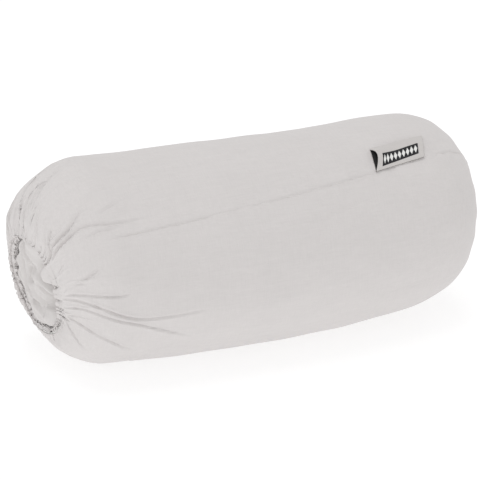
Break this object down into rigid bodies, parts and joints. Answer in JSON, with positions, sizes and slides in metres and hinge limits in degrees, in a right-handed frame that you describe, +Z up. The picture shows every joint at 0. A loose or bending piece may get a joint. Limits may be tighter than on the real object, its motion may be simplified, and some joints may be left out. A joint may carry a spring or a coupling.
{
  "type": "bolster pillow",
  "caption": "Round bolster pillow in a plain removable cloth cover with an elastic gathered mouth at one end.",
  "frame": {"origin": "middle of the flattened underside, on the surface that the bolster rests on", "axes": "+X along the bolster from the gathered mouth towards the closed end, +Z up, the woven label's side towards -Y"},
  "size_m": [0.45, 0.2, 0.195],
  "materials": {
    "cover_cloth": "matte",
    "cover_thread": "matte",
    "elastic": "matte",
    "care_label": "satin",
    "label_tape": "satin",
    "liner_cloth": "matte",
    "liner_thread": "matte",
    "fibre_filling": "matte"
  },
  "bodies": {
    "cover": {"cover_cloth": "cover_cloth", "gathered_end": "cover_cloth", "hem_casing": "cover_cloth", "elastic_band": "elastic", "hem_stitches": "cover_thread", "side_seam_thread": "cover_thread", "end_seam_thread": "cover_thread", "care_label": "care_label"},
    "label": {"woven_label": "label_tape"},
    "inner_pillow": {"liner_tube": "liner_cloth", "liner_mouth_end": "liner_cloth", "liner_closed_end": "liner_cloth", "filling": "fibre_filling", "liner_seam_thread": "liner_thread", "liner_mouth_end_thread": "liner_thread", "liner_closed_end_thread": "liner_thread", "liner_closing_stitches": "liner_thread"}
  },
  "joints": [
    {"name": "inner_pillow_slide", "type": "slide", "parent": "cover", "child": "inner_pillow", "axis": [-1, 0, 0], "range_m": [0, 0.47], "deforming": ["gathered_end", "hem_casing", "elastic_band", "hem_stitches"]},
    {"name": "label_flap", "type": "hinge", "parent": "cover", "child": "label", "pos_m": [0.12932, -0.06351, 0.17455], "axis": [0.9944, 0.0902, 0.0555], "range_deg": [0, 150]}
  ]
}
